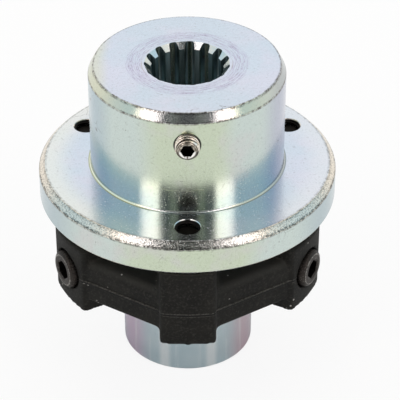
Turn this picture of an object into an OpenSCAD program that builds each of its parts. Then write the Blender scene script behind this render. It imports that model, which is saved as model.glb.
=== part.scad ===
// Flexible shaft coupling for a splined shaft and a keyed shaft.
// A flanged hub with a splined bore is bolted to a moulded rubber element, and the
// element is bolted radially to a plain cylindrical hub. Millimetres, +Z up.
// The origin is the centre of the lower hub's end face, on which the coupling stands.
// The front of the coupling, with the hub's set screw, looks along -Y.

/* [Flanged hub] */
// Outer diameter of the flange
flange_d = 100; // [96:1:112]
// Thickness of the flange
flange_t = 12; // [10:0.5:16]
// Radial width of the flange's upper chamfer
flange_chamfer_w = 2; // [1:0.1:4]
// Height of the flange's upper chamfer
flange_chamfer_h = 2.2; // [1:0.1:4]
// Chamfer on the flange's lower edge
flange_lower_chamfer = 1; // [0.4:0.1:1.5]
// Outer diameter of the upper hub
hub_d = 65; // [58:0.5:66]
// Height of the upper hub above the flange
hub_h = 37; // [32:1:60]
// Radial width of the upper hub's chamfer
hub_chamfer_w = 1.7; // [1:0.1:4]
// Height of the upper hub's chamfer
hub_chamfer_h = 3.2; // [1:0.1:6]
// Fillet where the upper hub meets the flange
hub_fillet = 0.8; // [0.4:0.1:1.5]
// Height of the hub's set screw above the flange
hub_screw_h = 26; // [16:0.5:27]
// How far the hub's set screw stands out of the hub
hub_screw_out = 3.5; // [0:0.5:8]

/* [Splined bore] */
// Number of teeth
spline_teeth = 15; // [13:1:17]
// Diameter across the tooth spaces
spline_major_d = 28.2; // [27:0.1:30]
// Diameter across the tooth tips
spline_minor_d = 24; // [22:0.1:25]
// Width of a tooth space at its root
spline_root_w = 3; // [2.6:0.1:3.2]
// Width of a tooth space at the tooth tips
spline_mouth_w = 3.4; // [3.1:0.1:3.6]
// Radius of the corners at the root of a tooth space
spline_corner_r = 1.1; // [0.4:0.05:1.2]
// Outer diameter of the bevel on the ends of the teeth
spline_bevel_d = 27.8; // [26:0.1:31]

/* [Shaft hub] */
// Outer diameter of the shaft hub
shaft_hub_d = 45; // [43:0.5:48]
// Length of the shaft hub below the rubber element
shaft_hub_below = 33; // [24:1:60]
// Space between the shaft hub and the flange
shaft_hub_gap = 3; // [2:0.5:6]
// Diameter of the shaft bore
shaft_bore_d = 25; // [18:0.5:26]
// Width of the keyway
key_w = 8; // [5:0.5:8]
// Depth of the keyway outside the bore
key_depth = 3.3; // [2:0.1:3.5]
// Chamfer on the shaft hub's outer edges
shaft_hub_chamfer = 0.8; // [0.4:0.1:2]
// Chamfer at both ends of the shaft bore
shaft_bore_chamfer = 1; // [0.4:0.1:1.5]
// Height of the shaft hub's set screw above its lower end
shaft_screw_h = 13; // [8:0.5:18]
// How far the shaft hub's set screw stands out of the hub
shaft_screw_out = 1.8; // [0:0.1:2.5]

/* [Rubber element] */
// Diameter over the three lobes with axial screws
axial_lobe_d = 99; // [97:0.5:99.5]
// Width of a lobe with an axial screw
axial_lobe_w = 18.6; // [18.4:0.1:22]
// Height of a lobe with an axial screw
axial_lobe_h = 29; // [27:0.5:36]
// Radius of the upright corners of an axial lobe
axial_lobe_corner = 1.5; // [0.5:0.1:2]
// Diameter over the three lobes with radial screws
radial_lobe_d = 93.8; // [92:0.2:95]
// Width of a lobe with a radial screw
radial_lobe_w = 20.4; // [19:0.2:22]
// Height of a lobe with a radial screw
radial_lobe_h = 24; // [21:0.5:26]
// Radius of the upright corners of a radial lobe
radial_lobe_corner = 1.7; // [0.5:0.1:3]
// Space between a radial lobe and the shaft hub
radial_lobe_gap = 1.8; // [0.5:0.1:3]
// Thickness of the bars between the lobes
bar_t = 11.5; // [8:0.5:14]
// Height of the bars above the parting line
bar_above = 8; // [6:0.5:10]
// Height of the bars below the parting line
bar_below = 7.2; // [6:0.2:10]
// Rounding along the upper edges of a bar
bar_top_round = 3; // [1:0.1:4]
// Rounding along the lower edges of a bar
bar_bottom_round = 0.8; // [0.5:0.1:4]
// Fillet above and below a bar where it meets an axial lobe
bar_fillet = 1.5; // [0.5:0.1:2.5]

/* [Inserts and screws] */
// Pitch circle of the axial screws
axial_screw_pcd = 80.5; // [79:0.5:81]
// Outer diameter of the metal inserts
insert_d = 17; // [16.4:0.1:17.4]
// Thread diameter of all the screws
screw_d = 8; // [6:0.5:8]
// Length of an axial screw under its head
axial_screw_l = 30; // [26:1:31]
// Length of a radial screw under its head
radial_screw_l = 25; // [20:1:26]
// Diameter of a screw head
head_d = 13; // [11:0.1:13.2]
// Height of a screw head
head_h = 8; // [5:0.1:8.4]
// Width across the flats of a screw head's socket
head_socket_af = 6; // [4:0.5:6.5]
// Depth of a screw head's socket
head_socket_depth = 4; // [2:0.1:4.5]
// Chamfer on the outer edge of a screw head
head_chamfer = 0.7; // [0.3:0.1:1]
// Depth of the recess that hides an axial screw's head
axial_recess_depth = 9; // [8.5:0.1:10]
// Distance from the coupling's axis to the seat of a radial screw's head
radial_seat_r = 40.5; // [39:0.1:42]
// Length of the upper hub's set screw
hub_screw_l = 20; // [12:1:22]
// Length of the shaft hub's set screw
shaft_screw_l = 8; // [6:0.5:8]
// Width across the flats of a set screw's socket
set_socket_af = 4; // [3:0.5:4]
// Depth of a set screw's socket
set_socket_depth = 4; // [2:0.1:5]

/* [Hidden] */

$fn = 96;
cut = 1;                  // how far a cutter runs past the face it opens
thread_gap = 0.05;        // radial gap between a screw and its threaded hole
shank_gap = 0.25;         // radial gap between a screw and the insert round it
head_gap = 0.35;          // radial gap between a screw head and the recess round it
rubber_head_gap = 0.6;    // radial gap between a radial screw's head and the rubber
bond_gap = 0.05;          // gap between the rubber and an insert
saddle_gap = 0.05;        // gap between a radial insert and the shaft hub
rubber_relief = 0.3;      // how far the rubber stops below the inserts' upper faces
hole_chamfer = 0.4;       // chamfer at the mouth of a threaded hole
set_chamfer = 0.6;        // chamfer at the end of a set screw
tip_chamfer = 1;          // chamfer at the end of a head screw
bar_setback = 0.5;        // how far a bar starts behind an axial lobe's rounded corner
bar_advance = 0.3;        // how far it ends beyond the middle of a radial lobe's corner
bar_embed = 1.2;          // how far a bar reaches into a lobe
fillet_steps = 4;         // facets of the hub's fillet

lobe_step = 120;          // angle between lobes of one kind
front = -90;              // direction of the first axial lobe and the hub's set screw
spline_phase = 14;        // direction of one tooth space
key_angle = 30;           // direction of the keyway, under an axial lobe

element_z = shaft_hub_below;
flange_z = element_z + axial_lobe_h;
hub_z = flange_z + flange_t;
top_z = hub_z + hub_h;
parting_z = element_z + radial_lobe_h / 2;
shaft_hub_h = flange_z - shaft_hub_gap;

flange_r = flange_d / 2;
hub_r = hub_d / 2;
shaft_hub_r = shaft_hub_d / 2;
shaft_bore_r = shaft_bore_d / 2;
spline_major_r = spline_major_d / 2;
spline_minor_r = spline_minor_d / 2;
spline_bevel_r = spline_bevel_d / 2;
axial_lobe_r = axial_lobe_d / 2;
radial_lobe_r = radial_lobe_d / 2;
axial_screw_r = axial_screw_pcd / 2;
screw_r = screw_d / 2;
head_r = head_d / 2;
insert_r = insert_d / 2;

// The centre of a lobe's rounded outer corner, where the outer face is part of a circle
function lobe_corner(r, w, corner_r) =
    [sqrt(pow(r - corner_r, 2) - pow(w / 2 - corner_r, 2)), w / 2 - corner_r];

axial_corner = lobe_corner(axial_lobe_r, axial_lobe_w, axial_lobe_corner);
radial_corner = lobe_corner(radial_lobe_r, radial_lobe_w, radial_lobe_corner);

// The bars' outer faces run from corner to corner of two neighbouring lobes. These
// points and directions are in an axial lobe's own directions, with +X outwards.
lobe_side = [0, 1];
radial_out = [cos(lobe_step / 2), sin(lobe_step / 2)];
radial_side = [sin(lobe_step / 2), -cos(lobe_step / 2)];
bar_start = [axial_corner.x - bar_setback, axial_lobe_w / 2];
bar_stop = radial_out * (radial_corner.x + bar_advance) + radial_side * radial_lobe_w / 2;
bar_dir = (bar_stop - bar_start) / norm(bar_stop - bar_start);
bar_out = [bar_dir.y, -bar_dir.x];
bar_angle = atan2(bar_out.y, bar_out.x);

// Where the line along a bar meets the line at the given distance along a normal
function along_bar(from, normal, distance) =
    from + bar_dir * (distance - from * normal) / (bar_dir * normal);

// A point list along an arc
function arc_points(centre, r, from, to, steps) =
    [for (i = [0:steps]) let (a = from + (to - from) * i / steps)
        centre + r * [cos(a), sin(a)]];

// The directions of the three axial and the three radial lobes
module at_axial(i) {
    rotate([0, 0, front + i * lobe_step]) children();
}

module at_radial(i) {
    rotate([0, 0, front + lobe_step / 2 + i * lobe_step]) children();
}

// A cylinder along +X, which is outwards in a lobe's own directions
module radial_cylinder(from, to, r) {
    translate([from, 0, 0]) rotate([0, 90, 0]) cylinder(h = to - from, r = r);
}

module radial_cone(from, to, r_from, r_to) {
    translate([from, 0, 0]) rotate([0, 90, 0]) cylinder(h = to - from, r1 = r_from, r2 = r_to);
}

// A hexagonal socket, open upwards at z = 0
module hex_socket(af, depth) {
    translate([0, 0, -depth]) cylinder(h = depth + cut, d = af / cos(30), $fn = 6);
}

// A socket head screw along Z: its head's seat is at z = 0 and its tip points down
module head_screw(length) {
    r = screw_r - thread_gap;
    difference() {
        union() {
            translate([0, 0, tip_chamfer - length]) cylinder(h = length - tip_chamfer, r = r);
            translate([0, 0, -length]) cylinder(h = tip_chamfer, r1 = r - tip_chamfer, r2 = r);
            cylinder(h = head_h - head_chamfer, r = head_r);
            translate([0, 0, head_h - head_chamfer])
                cylinder(h = head_chamfer, r1 = head_r, r2 = head_r - head_chamfer);
        }
        translate([0, 0, head_h]) hex_socket(head_socket_af, head_socket_depth);
    }
}

// A set screw along Z: its socket end is at z = 0 and its cupped tip points down
module set_screw(length) {
    r = screw_r - thread_gap;
    cup_r = r - 2 * set_chamfer;
    difference() {
        union() {
            translate([0, 0, -set_chamfer]) cylinder(h = set_chamfer, r1 = r, r2 = r - set_chamfer);
            translate([0, 0, set_chamfer - length])
                cylinder(h = length - 2 * set_chamfer, r = r);
            translate([0, 0, -length]) cylinder(h = set_chamfer, r1 = r - set_chamfer, r2 = r);
        }
        hex_socket(set_socket_af, set_socket_depth);
        translate([0, 0, -length - cut])
            cylinder(h = cup_r + cut, r1 = cup_r + cut, r2 = 0);
    }
}

// One tooth space of the spline, pointing along +X
module spline_space() {
    inner_r = spline_minor_r - cut;
    slope = (spline_mouth_w - spline_root_w) / (spline_major_r - spline_minor_r);
    inner_w = spline_mouth_w + slope * cut;
    corner = [spline_major_r - spline_corner_r, spline_root_w / 2 - spline_corner_r];
    half = concat([[inner_r, inner_w / 2]],
                  arc_points(corner, spline_corner_r, 90, 0, 4));
    polygon(concat(half, [for (i = [len(half) - 1:-1:0]) [half[i].x, -half[i].y]]));
}

module spline_bore() {
    bevel_h = spline_bevel_r - spline_minor_r;
    translate([0, 0, flange_z - cut])
        cylinder(h = top_z - flange_z + 2 * cut, r = spline_minor_r);
    for (i = [0:spline_teeth - 1])
        rotate([0, 0, spline_phase + i * 360 / spline_teeth])
            translate([0, 0, flange_z - cut])
                linear_extrude(height = top_z - flange_z + 2 * cut) spline_space();
    translate([0, 0, top_z - bevel_h])
        cylinder(h = bevel_h + cut, r1 = spline_minor_r, r2 = spline_bevel_r + cut);
    translate([0, 0, flange_z - cut])
        cylinder(h = bevel_h + cut, r1 = spline_bevel_r + cut, r2 = spline_minor_r);
}

// The flange and the upper hub, turned from one piece
module flange_hub_profile() {
    fillet_centre = [hub_r + hub_fillet, hub_z + hub_fillet];
    polygon(concat(
        [[0, flange_z],
         [flange_r - flange_lower_chamfer, flange_z],
         [flange_r, flange_z + flange_lower_chamfer],
         [flange_r, hub_z - flange_chamfer_h],
         [flange_r - flange_chamfer_w, hub_z]],
        arc_points(fillet_centre, hub_fillet, 270, 180, fillet_steps),
        [[hub_r, top_z - hub_chamfer_h],
         [hub_r - hub_chamfer_w, top_z],
         [0, top_z]]));
}

module flange_hub() {
    hole_r = screw_r;
    color("#c6d2d8") difference() {
        rotate_extrude() flange_hub_profile();
        spline_bore();
        for (i = [0:2]) at_axial(i) translate([axial_screw_r, 0, 0]) {
            translate([0, 0, flange_z - cut]) cylinder(h = flange_t + 2 * cut, r = hole_r);
            translate([0, 0, hub_z - hole_chamfer])
                cylinder(h = hole_chamfer + cut, r1 = hole_r, r2 = hole_r + hole_chamfer + cut);
            translate([0, 0, flange_z - cut])
                cylinder(h = hole_chamfer + cut, r1 = hole_r + hole_chamfer + cut, r2 = hole_r);
        }
        rotate([0, 0, front]) translate([0, 0, hub_z + hub_screw_h]) {
            radial_cylinder(0, hub_r + cut, hole_r);
            radial_cone(hub_r - hole_chamfer, hub_r + cut, hole_r, hole_r + hole_chamfer + cut);
        }
    }
}

module hub_set_screw() {
    color("#4a4845") rotate([0, 0, front])
        translate([hub_r + hub_screw_out, 0, hub_z + hub_screw_h])
            rotate([0, 90, 0]) set_screw(hub_screw_l);
}

module shaft_hub_profile() {
    c = shaft_hub_chamfer;
    b = shaft_bore_chamfer;
    polygon([
        [shaft_bore_r + b, 0], [shaft_hub_r - c, 0], [shaft_hub_r, c],
        [shaft_hub_r, shaft_hub_h - c], [shaft_hub_r - c, shaft_hub_h],
        [shaft_bore_r + b, shaft_hub_h], [shaft_bore_r, shaft_hub_h - b], [shaft_bore_r, b]
    ]);
}

module shaft_hub() {
    color("#b7bccb") difference() {
        rotate_extrude() shaft_hub_profile();
        rotate([0, 0, key_angle]) {
            translate([0, -key_w / 2, -cut])
                cube([shaft_bore_r + key_depth, key_w, shaft_hub_h + 2 * cut]);
            translate([0, 0, shaft_screw_h]) {
                radial_cylinder(0, shaft_hub_r + cut, screw_r);
                radial_cone(shaft_hub_r - hole_chamfer, shaft_hub_r + cut,
                            screw_r, screw_r + hole_chamfer + cut);
            }
        }
        for (i = [0:2]) at_radial(i) translate([0, 0, parting_z])
            radial_cylinder(0, shaft_hub_r + cut, screw_r);
    }
}

module shaft_set_screw() {
    color("#4a4845") rotate([0, 0, key_angle])
        translate([shaft_hub_r + shaft_screw_out, 0, shaft_screw_h])
            rotate([0, 90, 0]) set_screw(shaft_screw_l);
}

// The outer part of a lobe: straight sides, a curved outer face and rounded corners
module lobe_plan(r, w, corner_r, from) {
    corner = lobe_corner(r, w, corner_r);
    translate([from, -w / 2]) square([corner.x - from, w]);
    intersection() {
        circle(r = r);
        polygon([[0, 0], [corner.x, -corner.y] * 2, corner * 2]);
        translate([from, -w / 2]) square([r, w]);
    }
    for (side = [-1, 1]) translate([corner.x, side * corner.y]) circle(r = corner_r);
}

// The outline of a bar from above, with its two faces moved outwards by grow
module bar_plan(grow) {
    outer = bar_start + bar_out * grow;
    inner = bar_start - bar_out * (bar_t + grow);
    near = axial_lobe_w / 2 - bar_embed;
    far = radial_lobe_w / 2 - bar_embed;
    polygon([along_bar(outer, lobe_side, near), along_bar(outer, radial_side, far),
             along_bar(inner, radial_side, far), along_bar(inner, lobe_side, near)]);
}

// A bar's section: +X points outwards from its outer face, and z = 0 is the parting plane
module bar_section() {
    top = bar_above - bar_top_round;
    bottom = bar_bottom_round - bar_below;
    for (x = [bar_top_round - bar_t, -bar_top_round]) translate([x, top]) circle(r = bar_top_round);
    for (x = [bar_bottom_round - bar_t, -bar_bottom_round])
        translate([x, bottom]) circle(r = bar_bottom_round);
    translate([-bar_t, bottom]) square([bar_t, top - bottom]);
    translate([bar_top_round - bar_t, top]) square([bar_t - 2 * bar_top_round, bar_top_round]);
    translate([bar_bottom_round - bar_t, -bar_below])
        square([bar_t - 2 * bar_bottom_round, bar_bottom_round]);
}

// A concave fillet along +X, in the corner between +Y and +Z
module corner_fillet(length) {
    difference() {
        cube([length, bar_fillet, bar_fillet]);
        translate([-cut, bar_fillet, bar_fillet]) rotate([0, 90, 0])
            cylinder(h = length + 2 * cut, r = bar_fillet);
    }
}

module bar() {
    length = 2 * axial_lobe_r;
    reach = bar_above + bar_below;
    intersection() {
        translate([bar_start.x, bar_start.y, 0]) rotate([0, 0, bar_angle])
            translate([0, length / 2, 0]) rotate([90, 0, 0])
                linear_extrude(height = length) bar_section();
        translate([0, 0, -reach]) linear_extrude(height = 2 * reach) bar_plan(0);
    }
    intersection() {
        union() {
            translate([0, axial_lobe_w / 2, bar_above]) corner_fillet(axial_lobe_r);
            translate([0, axial_lobe_w / 2, -bar_below])
                mirror([0, 0, 1]) corner_fillet(axial_lobe_r);
        }
        translate([0, 0, -reach]) linear_extrude(height = 2 * reach)
            bar_plan(-bar_bottom_round / 2);
    }
}

module rubber_element() {
    color("#1d1d1c") difference() {
        union() {
            for (i = [0:2]) at_axial(i) {
                translate([0, 0, element_z])
                    linear_extrude(height = axial_lobe_h - rubber_relief) {
                        translate([axial_screw_r, 0]) circle(r = axial_lobe_w / 2);
                        lobe_plan(axial_lobe_r, axial_lobe_w, axial_lobe_corner, axial_screw_r);
                    }
                translate([0, 0, parting_z]) {
                    bar();
                    mirror([0, 1, 0]) bar();
                }
            }
            for (i = [0:2]) at_radial(i) translate([0, 0, element_z])
                linear_extrude(height = radial_lobe_h)
                    lobe_plan(radial_lobe_r, radial_lobe_w, radial_lobe_corner, shaft_hub_r - cut);
        }
        translate([0, 0, element_z - cut])
            cylinder(h = axial_lobe_h, r = shaft_hub_r + radial_lobe_gap);
        for (i = [0:2]) at_axial(i) translate([axial_screw_r, 0, element_z - cut])
            cylinder(h = axial_lobe_h + 2 * cut, r = insert_r + bond_gap);
        for (i = [0:2]) at_radial(i) translate([0, 0, parting_z]) {
            radial_cylinder(shaft_hub_r - cut, radial_seat_r, insert_r + bond_gap);
            radial_cylinder(radial_seat_r - cut, radial_lobe_r + cut, head_r + rubber_head_gap);
        }
    }
}

module axial_insert(i) {
    color("#b9bbbd") at_axial(i) translate([axial_screw_r, 0, element_z]) difference() {
        cylinder(h = axial_lobe_h, r = insert_r);
        translate([0, 0, -cut]) cylinder(h = axial_lobe_h + 2 * cut, r = screw_r + shank_gap);
        translate([0, 0, -cut]) cylinder(h = axial_recess_depth + cut, r = head_r + head_gap);
    }
}

module radial_insert(i) {
    color("#b9bbbd") at_radial(i) translate([0, 0, parting_z]) difference() {
        radial_cylinder(shaft_bore_r, radial_seat_r, insert_r);
        radial_cylinder(0, radial_seat_r + cut, screw_r + shank_gap);
        translate([0, 0, -insert_d]) cylinder(h = 2 * insert_d, r = shaft_hub_r + saddle_gap);
    }
}

module axial_screw(i) {
    color("#4a4845") at_axial(i)
        translate([axial_screw_r, 0, element_z + axial_recess_depth])
            rotate([180, 0, 0]) head_screw(axial_screw_l);
}

module radial_screw(i) {
    color("#4a4845") at_radial(i)
        translate([radial_seat_r, 0, parting_z]) rotate([0, 90, 0]) head_screw(radial_screw_l);
}

flange_hub();
hub_set_screw();
shaft_hub();
shaft_set_screw();
rubber_element();
for (i = [0:2]) {
    axial_insert(i);
    radial_insert(i);
    axial_screw(i);
    radial_screw(i);
}
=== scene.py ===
# %% [markdown]
# # Dressing a flexible shaft coupling
#
# A coupling of this kind joins two shafts that are not quite in line. The upper hub, with its
# wide flange, slides over a splined shaft. Under the flange sits a moulded rubber element, and
# a plain hub below takes the other shaft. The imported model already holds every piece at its
# real size. This file gives the pieces their finish: bright zinc plate, black oxide screws with
# real threads, and matt rubber with rounded edges. Lengths are in metres, as Blender has them,
# and `MM` turns a drawing's millimetres into metres.

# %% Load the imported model
import math

import bmesh
import bpy
from mathutils import Matrix, Vector


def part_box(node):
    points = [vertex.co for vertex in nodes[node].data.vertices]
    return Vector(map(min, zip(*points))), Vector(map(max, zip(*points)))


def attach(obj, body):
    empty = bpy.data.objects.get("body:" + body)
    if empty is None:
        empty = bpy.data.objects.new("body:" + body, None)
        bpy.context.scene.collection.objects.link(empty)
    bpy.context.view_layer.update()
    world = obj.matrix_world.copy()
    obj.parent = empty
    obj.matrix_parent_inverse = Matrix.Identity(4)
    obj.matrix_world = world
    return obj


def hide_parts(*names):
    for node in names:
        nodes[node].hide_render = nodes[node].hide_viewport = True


MM = 0.001
BODY = "root"

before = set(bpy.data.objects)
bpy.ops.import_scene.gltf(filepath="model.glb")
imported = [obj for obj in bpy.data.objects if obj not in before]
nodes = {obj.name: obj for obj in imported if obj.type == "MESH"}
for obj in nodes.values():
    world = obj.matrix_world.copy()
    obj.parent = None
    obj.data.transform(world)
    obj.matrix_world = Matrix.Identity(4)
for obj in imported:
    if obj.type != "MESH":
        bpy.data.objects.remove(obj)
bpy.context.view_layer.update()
print("packed pieces:", len(nodes))

# %% Sizes
def middle_of(node):
    low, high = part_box(node)
    return (low + high) / 2


FLANGE_T = 12 * MM
HUB_R = 32.5 * MM
flange_low, flange_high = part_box("flange_hub")
FLANGE_R = flange_high.x
TOP_Z = flange_high.z
FLANGE_TOP_Z = flange_low.z + FLANGE_T
screw_low, screw_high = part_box("radial_screw_2")
PARTING_Z = (screw_low.z + screw_high.z) / 2
print("flange top at", round(FLANGE_TOP_Z / MM, 2), "mm")
print("parting plane at", round(PARTING_Z / MM, 2), "mm")

# %% [markdown]
# ## Where the camera stands
#
# A long lens from far away keeps the upright edges of the hubs nearly parallel. The numbers
# below came from fitting a camera to the rims of the flange and the hub: how far away the camera
# is, how steeply it looks down, and by which small angles it is then turned away from the middle
# of the flange, so that its lens needs no shift.

# %% Camera
PICTURE = 400
FOCAL = 1935.7
SENSOR = 36.0
CAMERA_DISTANCE = 652.3 * MM
CAMERA_ELEVATION = math.radians(33.45)
YAW = math.radians(0.37)
PITCH = math.radians(1.26)
ROLL = math.radians(-0.20)


def turned(first, second, angle):
    """Turns two directions in their own plane."""
    return (first * math.cos(angle) + second * math.sin(angle),
            second * math.cos(angle) - first * math.sin(angle))


def aim_camera():
    target = Vector((0, 0, FLANGE_TOP_Z))
    back = Vector((0, -math.cos(CAMERA_ELEVATION), math.sin(CAMERA_ELEVATION)))
    up = Vector((0, math.sin(CAMERA_ELEVATION), math.cos(CAMERA_ELEVATION)))
    right, aside = turned(Vector((1, 0, 0)), back, YAW)
    behind, up = turned(aside, up, PITCH)
    right, up = turned(right, up, ROLL)
    data = bpy.data.cameras.new("camera")
    data.sensor_width = SENSOR
    data.lens = FOCAL * SENSOR / PICTURE
    data.clip_start = 0.01
    camera = bpy.data.objects.new("camera", data)
    bpy.context.scene.collection.objects.link(camera)
    axes = Matrix((right, up, behind)).transposed()
    camera.matrix_world = Matrix.Translation(target + back * CAMERA_DISTANCE) @ axes.to_4x4()
    bpy.context.scene.camera = camera
    print("lens", round(data.lens, 1), "mm")


aim_camera()

# %% [markdown]
# ## Writing a shader as arithmetic
#
# A material is a formula over the surface. Written as a chain of nodes, a formula is long to
# read, so one small class wraps a socket and overloads the operators: `a * b + 1` then adds the
# Math nodes by itself. A second class makes every other node from its type, its settings and
# the values of its sockets.

# %% Sockets that can be added and multiplied
class Value:
    """A number or colour that changes from point to point, as a node's socket."""

    def __init__(self, owner, socket):
        self.owner = owner
        self.socket = socket

    def math(self, operation, *others, clamp=False):
        return self.owner.math(operation, self, *others, clamp=clamp)

    def __add__(self, other):
        return self.math("ADD", other)

    def __sub__(self, other):
        return self.math("SUBTRACT", other)

    def __rsub__(self, other):
        return self.owner.math("SUBTRACT", other, self)

    def __mul__(self, other):
        return self.math("MULTIPLY", other)

    def __truediv__(self, other):
        return self.math("DIVIDE", other)

    def __pow__(self, other):
        return self.math("POWER", other)

    __radd__ = __add__
    __rmul__ = __mul__

    def abs(self):
        return self.math("ABSOLUTE")

    def clamp(self):
        return self.math("ADD", 0.0, clamp=True)

    def rise(self, low, high):
        """0 below low and 1 above high, with a smooth step between."""
        t = ((self - low) / (high - low)).clamp()
        return t * t * (3 - 2 * t)

    def band(self, middle, half_width, soft):
        """1 within half_width of the middle, fading out over soft."""
        return 1 - (self - middle).abs().rise(half_width, half_width + soft)


class Tree:
    """Adds nodes to one tree, of a material or a shape, and hands back their sockets."""

    def __init__(self, tree):
        self.tree = tree

    def node(self, kind, output=0, inputs=None, **settings):
        made = self.tree.nodes.new(kind)
        for name, value in settings.items():
            setattr(made, name, value)
        for name, value in (inputs or {}).items():
            self.plug(made.inputs[name], value)
        return Value(self, made.outputs[output])

    def plug(self, socket, value):
        if isinstance(value, Value):
            self.tree.links.new(value.socket, socket)
        else:
            socket.default_value = value

    def math(self, operation, *values, clamp=False):
        inputs = dict(enumerate(values))
        return self.node("ShaderNodeMath", 0, inputs, operation=operation, use_clamp=clamp)

    def mix(self, factor, first, second):
        """A blend of two colours."""
        return self.node("ShaderNodeMix", 2, {0: factor, 6: colour(first), 7: colour(second)},
                         data_type="RGBA")

    def mix_value(self, factor, first, second):
        """A blend of two numbers."""
        return first + (second - first) * factor

    def separate(self, vector):
        made = self.tree.nodes.new("ShaderNodeSeparateXYZ")
        self.plug(made.inputs[0], vector)
        return [Value(self, socket) for socket in made.outputs]

    def vector(self, x, y):
        """A vector in the XY plane."""
        return self.node("ShaderNodeCombineXYZ", 0, {0: x, 1: y, 2: 0.0})

    def noise(self, where, scale, detail, roughness):
        return self.node("ShaderNodeTexNoise", 0, {"Vector": where, "Scale": scale,
                                                   "Detail": detail, "Roughness": roughness})

    def bump(self, height, distance):
        return self.node("ShaderNodeBump", 0, {"Height": height, "Distance": distance})


def colour(value):
    return value if isinstance(value, Value) else (*value, 1.0)


# %% [markdown]
# ## The studio
#
# Bright plating is a mirror, so what it shows is the room around it. The wall of the hub mirrors
# the white table, and near the flange it shows the room twice, by way of the flange. The room
# has a dark place where the camera stands, a tall white panel on each side of it, and a dim
# bluish wall beyond them. Behind the coupling all is white. The world's shader paints these by
# direction, with the front at -Y, and lights the coupling softly at the same time. The table is
# one white sheet that curves up at its far edge.

# %% World
DARK_EDGE = math.radians(34)
PANEL_EDGE = math.radians(56)
ROOM_EDGE = math.radians(128)
DIM_ROOM = (0.54, 0.76, 0.92)
FAR_TABLE = (0.80, 0.82, 0.80)
DARK = (0.015, 0.016, 0.02)
DARK_SIDES = (0.10, 0.12, 0.155)
GAP_IN_DARK = (0.40, 0.44, 0.36)
DARK_TOP = (0.07, 0.07, 0.065)
PANEL = (2.8, 2.5, 2.45)
BEHIND = (1.02, 1.03, 1.05)
UPPER_WALLS = (0.95, 0.91, 0.82)
OVERHEAD = (1.10, 1.08, 1.06)


def front_of_room(s, azimuth, height):
    """What lies in front: the dark place of the camera, and a white panel on each side."""
    beside = azimuth.rise(0.36, 0.42) * height.rise(0.42, 0.52)
    dark = s.mix(beside, DARK, DARK_SIDES)
    gap = azimuth.band(0.30, 0.06, 0.06) * height.rise(0.42, 0.52)
    dark = s.mix(gap, dark, GAP_IN_DARK)
    dark = s.mix(height.rise(0.66, 0.8), dark, DARK_TOP)
    low = 1 - height.rise(0.05, 0.42)
    room = s.mix(low, DIM_ROOM, FAR_TABLE)
    light = s.mix(azimuth.rise(DARK_EDGE - 0.01, DARK_EDGE + 0.02), dark, room)
    panel = azimuth.band((DARK_EDGE + PANEL_EDGE) / 2, (PANEL_EDGE - DARK_EDGE) / 2 - 0.03, 0.07)
    return s.mix(panel * (1 - height.rise(1.0, 1.1)), light, PANEL)


def make_world():
    world = bpy.data.worlds.new("studio")
    world.use_nodes = True
    tree = world.node_tree
    tree.nodes.clear()
    s = Tree(tree)
    x, y, z = s.separate(s.node("ShaderNodeTexCoord", 0))
    azimuth = s.math("ARCTAN2", x, y * -1.0).abs()
    height = s.math("ARCSINE", z)
    light = front_of_room(s, azimuth, height)
    light = s.mix(azimuth.rise(ROOM_EDGE - 0.25, ROOM_EDGE + 0.25), light, BEHIND)
    upper = height.rise(0.60, 0.76) * azimuth.rise(0.90, 1.0)
    light = s.mix(upper, light, UPPER_WALLS)
    in_front = 1 - azimuth.rise(0.75, 0.9)
    overhead = height.rise(0.92, 1.08) * (1 - in_front * (1 - height.rise(1.32, 1.45)))
    light = s.mix(overhead, light, OVERHEAD)
    background = s.node("ShaderNodeBackground", 0, {"Color": light, "Strength": 1.0})
    out = tree.nodes.new("ShaderNodeOutputWorld")
    s.plug(out.inputs["Surface"], background)
    bpy.context.scene.world = world


make_world()
bpy.context.scene.view_settings.view_transform = "Standard"
print("world nodes:", len(bpy.context.scene.world.node_tree.nodes))

# %% Floor
TABLE_WHITE = 0.88
SWEEP = [(0.3, 0.0), (2.6, 0.0), (2.9, 0.05), (3.1, 0.15), (3.25, 0.33), (3.3, 0.6)]
SWEEP_SIDES = 96


def finished(material, shader):
    out = material.node_tree.nodes.new("ShaderNodeOutputMaterial")
    Tree(material.node_tree).plug(out.inputs["Surface"], shader)
    return material


def new_material(name):
    material = bpy.data.materials.new(name)
    material.use_nodes = True
    material.node_tree.nodes.clear()
    return material, Tree(material.node_tree)


def white_sheet():
    """Paper that a camera sees as white, and a mirror too, but for the coupling's shadow."""
    material, s = new_material("white_sheet")
    paper = s.node("ShaderNodeBsdfDiffuse", 0, {"Color": (0.95, 0.95, 0.945, 1)})
    glow = s.node("ShaderNodeEmission", 0, {"Color": (1, 1, 1, 1), "Strength": 1.0})
    by_camera, by_gloss, by_glass = [
        s.node("ShaderNodeLightPath", name)
        for name in ("Is Camera Ray", "Is Glossy Ray", "Is Transmission Ray")]
    distance = s.node("ShaderNodeVectorMath", 1, {0: s.node("ShaderNodeTexCoord", 3)},
                      operation="LENGTH")
    clear_of_shadow = distance.rise(0.06, 0.13)
    share = (by_camera + (by_gloss + by_glass) * clear_of_shadow).clamp() * TABLE_WHITE
    both = s.node("ShaderNodeMixShader", 0, {0: share, 1: paper, 2: glow})
    return finished(material, both)


def round_row(bm, radius, height, count):
    """Points in a circle round the Z axis."""
    angles = [math.tau * i / count for i in range(count)]
    return [bm.verts.new((radius * math.cos(a), radius * math.sin(a), height)) for a in angles]


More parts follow.
